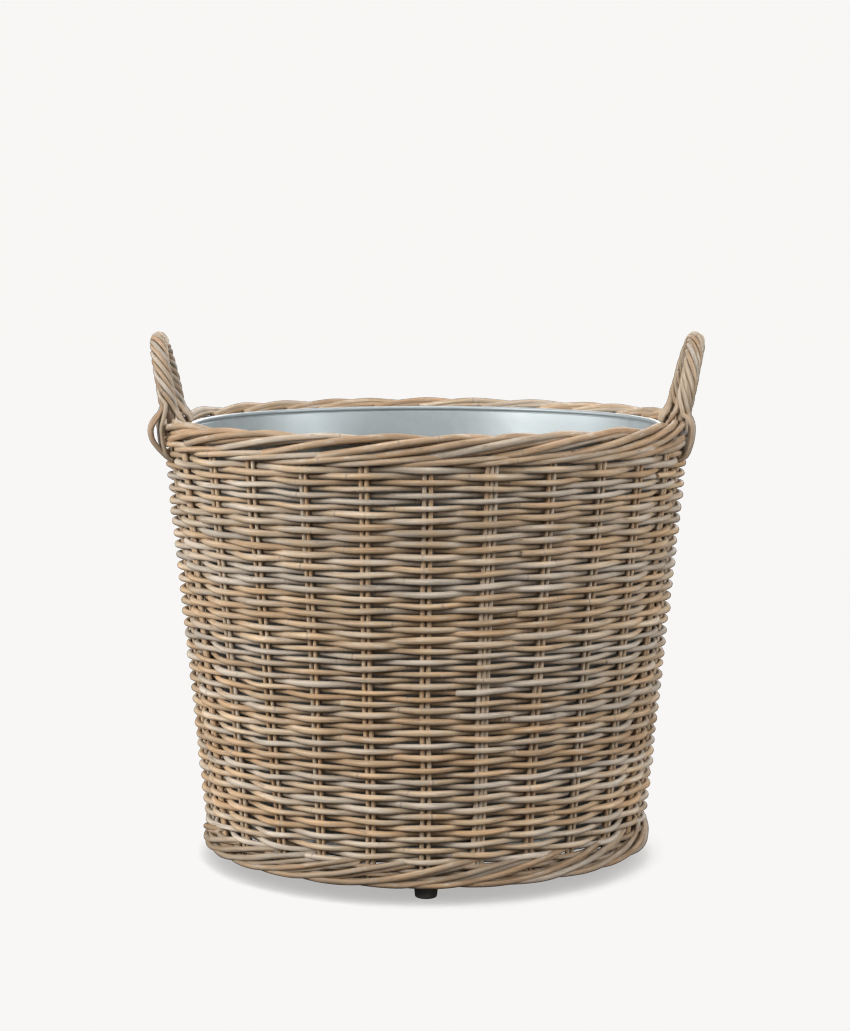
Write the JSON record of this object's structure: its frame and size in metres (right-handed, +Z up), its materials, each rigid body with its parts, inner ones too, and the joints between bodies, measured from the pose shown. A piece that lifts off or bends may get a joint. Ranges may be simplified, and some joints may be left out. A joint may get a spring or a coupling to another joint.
{
  "type": "wicker log basket",
  "caption": "Round tapered rattan log basket with two roped arch handles, a rolled rim, small feet and a lift-out sheet-metal liner.",
  "frame": {"origin": "on the floor, under the centre of the round base", "axes": "+Z up; front towards -Y; the two handles at +X and -X"},
  "size_m": [0.5877, 0.56, 0.5598],
  "materials": {
    "stake_cane": "matt brown rattan cane",
    "weave_cane": "matt weathered grey-tan rattan cane",
    "border_cane": "matt weathered grey-tan rattan cane",
    "handle_cane": "matt tan rattan cane, roped",
    "base_cane": "matt tan rattan pole and cane",
    "zinc_sheet": "satin galvanised sheet, blue-grey",
    "steel": "plated steel",
    "foot_plastic": "matt black moulded plastic"
  },
  "bodies": {
    "basket": {"stake_01": "stake_cane", "stake_02": "stake_cane", "stake_03": "stake_cane", "stake_04": "stake_cane", "stake_05": "stake_cane", "stake_06": "stake_cane", "stake_07": "stake_cane", "stake_08": "stake_cane", "stake_09": "stake_cane", "stake_10": "stake_cane", "stake_11": "stake_cane", "stake_12": "stake_cane", "stake_13": "stake_cane", "stake_14": "stake_cane", "stake_15": "stake_cane", "stake_16": "stake_cane", "stake_17": "stake_cane", "stake_18": "stake_cane", "stake_19": "stake_cane", "stake_20": "stake_cane", "stake_21": "stake_cane", "stake_22": "stake_cane", "stake_23": "stake_cane", "stake_24": "stake_cane", "stake_25": "stake_cane", "stake_26": "stake_cane", "stake_27": "stake_cane", "side_weave_1": "weave_cane", "side_weave_2": "weave_cane", "side_weave_3": "weave_cane", "upper_wale": "border_cane", "top_border": "border_cane", "foot_border": "border_cane", "handle_right_bow": "handle_cane", "handle_right_wrap": "handle_cane", "handle_left_bow": "handle_cane", "handle_left_wrap": "handle_cane", "base_pole_x": "base_cane", "base_pole_y": "base_cane", "base_weave": "base_cane", "pole_nail": "steel", "foot_front": "foot_plastic", "foot_screw_front": "steel", "foot_right": "foot_plastic", "foot_screw_right": "steel", "foot_back": "foot_plastic", "foot_screw_back": "steel", "foot_left": "foot_plastic", "foot_screw_left": "steel"},
    "liner": {"liner_wall": "zinc_sheet", "liner_base": "zinc_sheet", "liner_rim_wire": "steel"}
  },
  "joints": [
    {"name": "liner_lift", "type": "slide", "parent": "basket", "child": "liner", "axis": [0, 0, 1], "range_m": [0, 0.53]}
  ]
}
